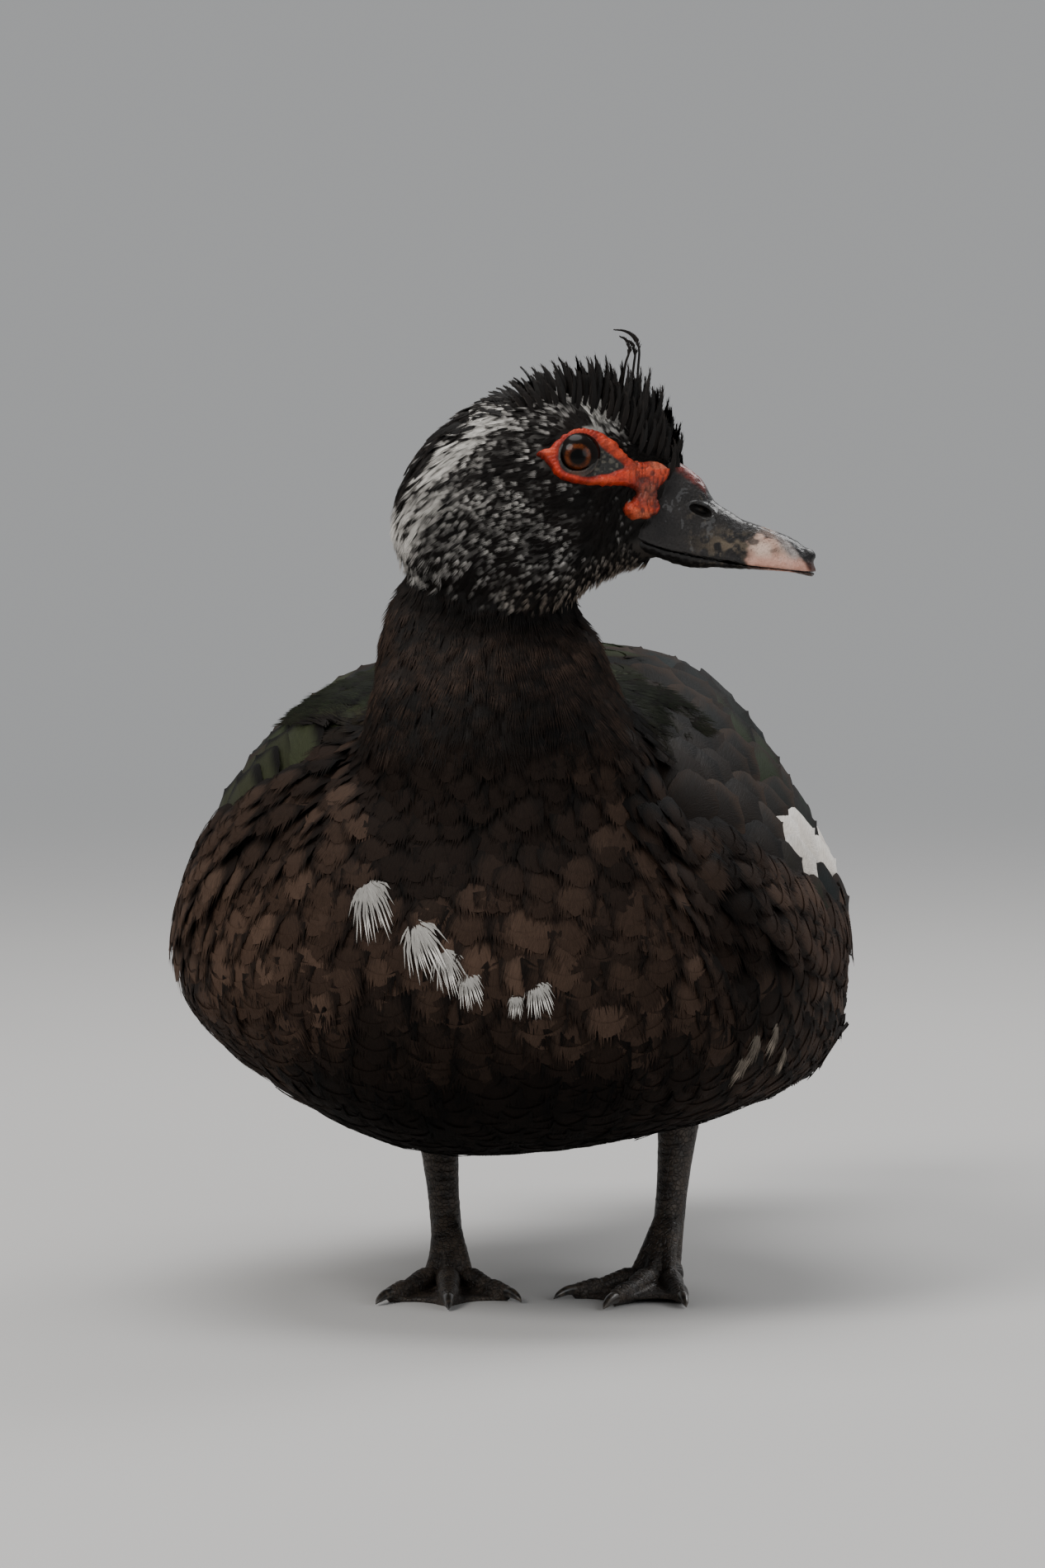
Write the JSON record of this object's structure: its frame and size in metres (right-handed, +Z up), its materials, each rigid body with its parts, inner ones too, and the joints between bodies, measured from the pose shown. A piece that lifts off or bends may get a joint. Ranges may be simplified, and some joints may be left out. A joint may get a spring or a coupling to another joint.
{
  "type": "muscovy duck model",
  "caption": "Life-size still model of a standing muscovy duck hen with her head turned to her left, for display.",
  "frame": {"origin": "on the ground, under the middle of the whole bird's bounding box", "axes": "+Z up, -Y the way the breast faces, +Y the tail, +X the duck's own left side, to which the head is turned"},
  "size_m": [0.2297, 0.426, 0.3342],
  "materials": {
    "body_feathers": "dark brown to black body feathers, matt with a damp sheen on the breast",
    "head_feathers": "black head feathers speckled with grey-white, and a black crest",
    "wing_feathers": "blackish wing and tail feathers with a green and bronze gloss, and a white wing patch",
    "caruncle": "bare orange-red skin round the eye and at the base of the bill",
    "bill_horn": "dark grey glossy bill with a pinkish band before the black nail",
    "eye_brown": "wet eye with an orange-brown iris and a black pupil",
    "leg_skin": "blackish brown scaly skin of the legs and webs",
    "claw_horn": "dark horn of the claws"
  },
  "bodies": {
    "root": {"torso": "body_feathers", "neck": "body_feathers", "head": "head_feathers", "bill_upper": "bill_horn", "bill_lower": "bill_horn", "eye_left": "eye_brown", "eye_right": "eye_brown", "wing_left": "wing_feathers", "wing_right": "wing_feathers", "tail": "wing_feathers", "thigh_left": "body_feathers", "thigh_right": "body_feathers", "shank_left": "leg_skin", "shank_right": "leg_skin", "foot_left": "leg_skin", "foot_right": "leg_skin"}
  },
  "joints": []
}
